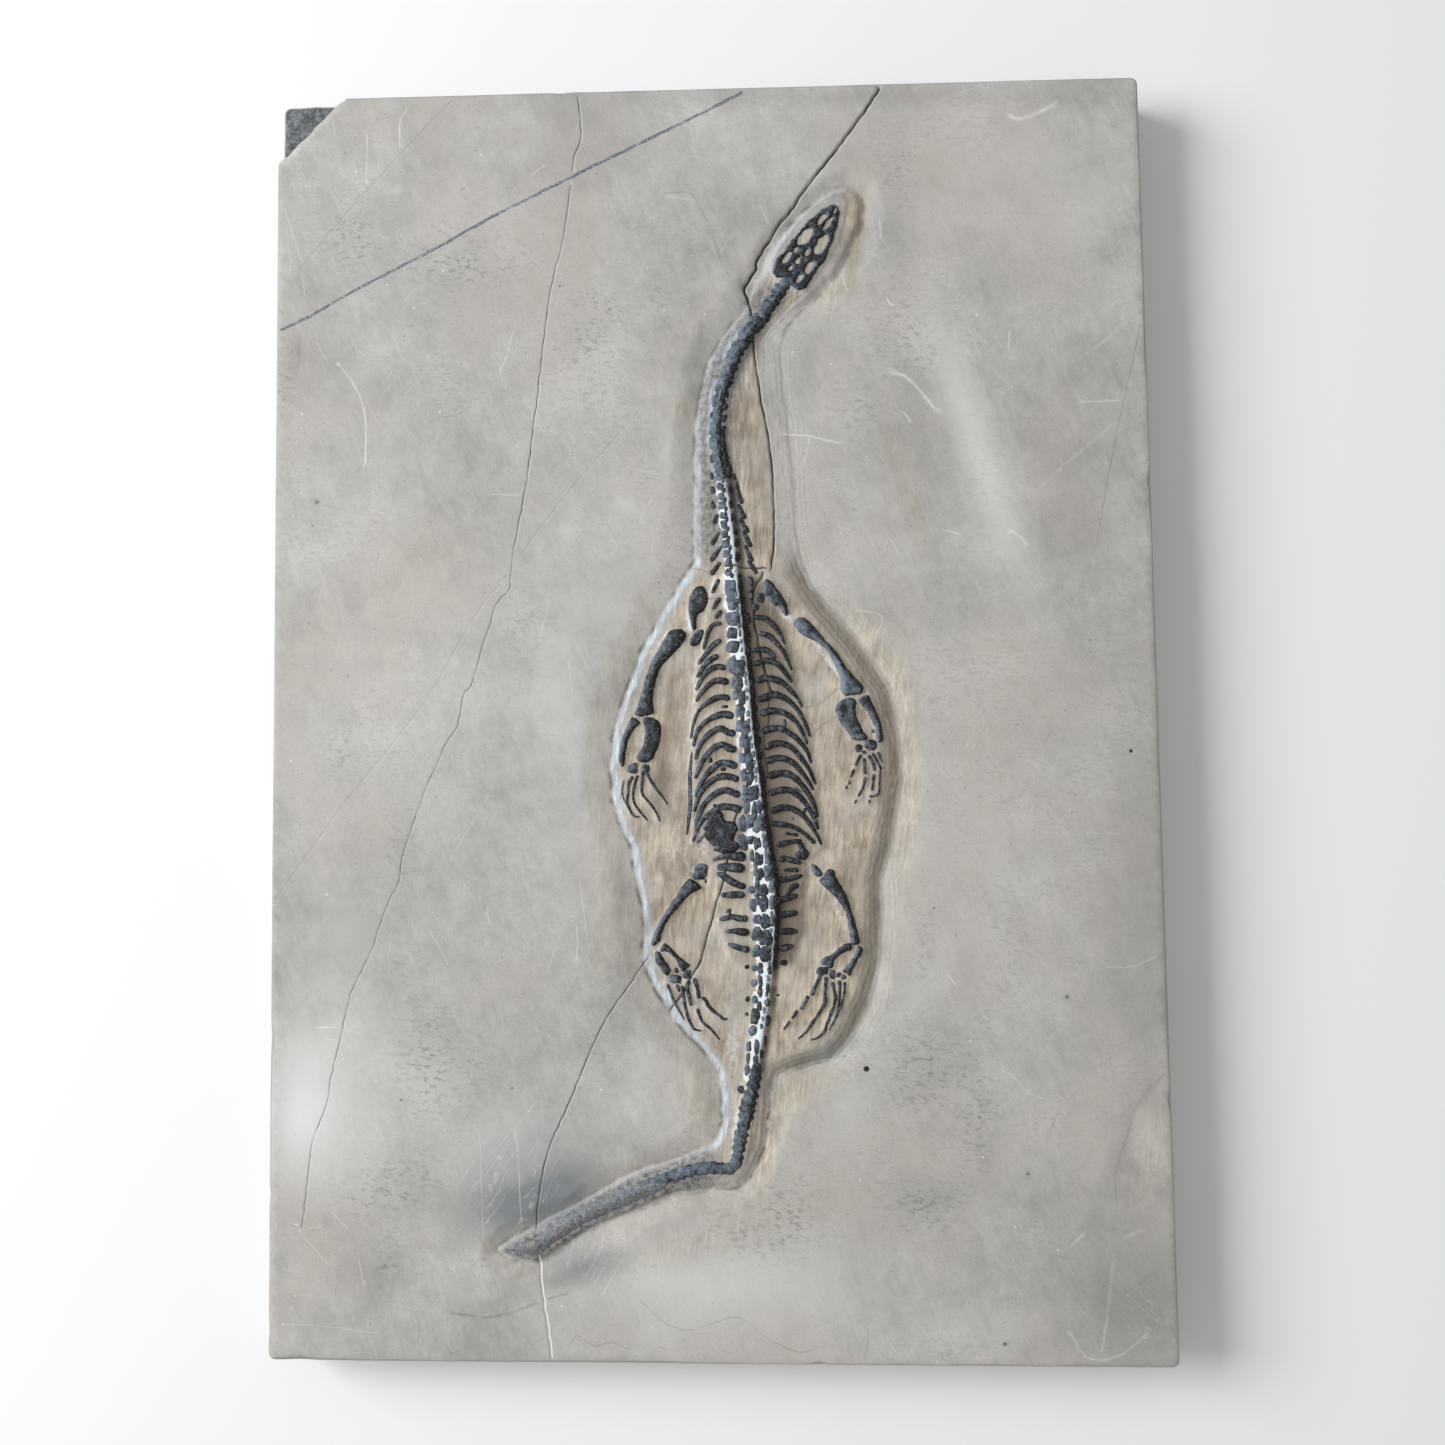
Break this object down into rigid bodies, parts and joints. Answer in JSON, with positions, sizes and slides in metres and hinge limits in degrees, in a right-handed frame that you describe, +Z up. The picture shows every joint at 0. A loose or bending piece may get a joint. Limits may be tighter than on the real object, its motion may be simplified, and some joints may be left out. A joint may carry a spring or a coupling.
{
  "type": "keichousaurus fossil",
  "caption": "Complete keichousaurus skeleton in relief on a sawn grey-beige limestone slab, with natural cracks and a broken corner.",
  "frame": {"origin": "centre of the slab's footprint, on its underside", "axes": "+Z up out of the fossil's face, +Y along the slab's length towards the head, +X to the right as seen from above"},
  "size_m": [0.2006, 0.2898, 0.0178],
  "materials": {
    "matrix": "honed",
    "bone": "satin"
  },
  "bodies": {
    "root": {"slab": "matrix", "skull": "bone", "neck_vertebrae": "bone", "backbone_and_ribs": "bone", "tail_vertebrae": "bone", "belly_mass": "bone", "left_shoulder_blade": "bone", "right_shoulder_blade": "bone", "left_collar_bone": "bone", "left_upper_arm": "bone", "right_upper_arm": "bone", "left_forearm_outer": "bone", "left_forearm_inner": "bone", "right_forearm_inner": "bone", "right_forearm_outer": "bone", "left_hand": "bone", "right_hand": "bone", "left_hip_bone": "bone", "right_hip_bone": "bone", "left_thigh": "bone", "right_thigh": "bone", "left_shin_inner": "bone", "left_shin_outer": "bone", "right_shin_inner": "bone", "right_shin_outer": "bone", "left_foot": "bone", "right_foot": "bone", "broken_rib_end": "bone", "loose_vertebra": "bone"}
  },
  "joints": []
}
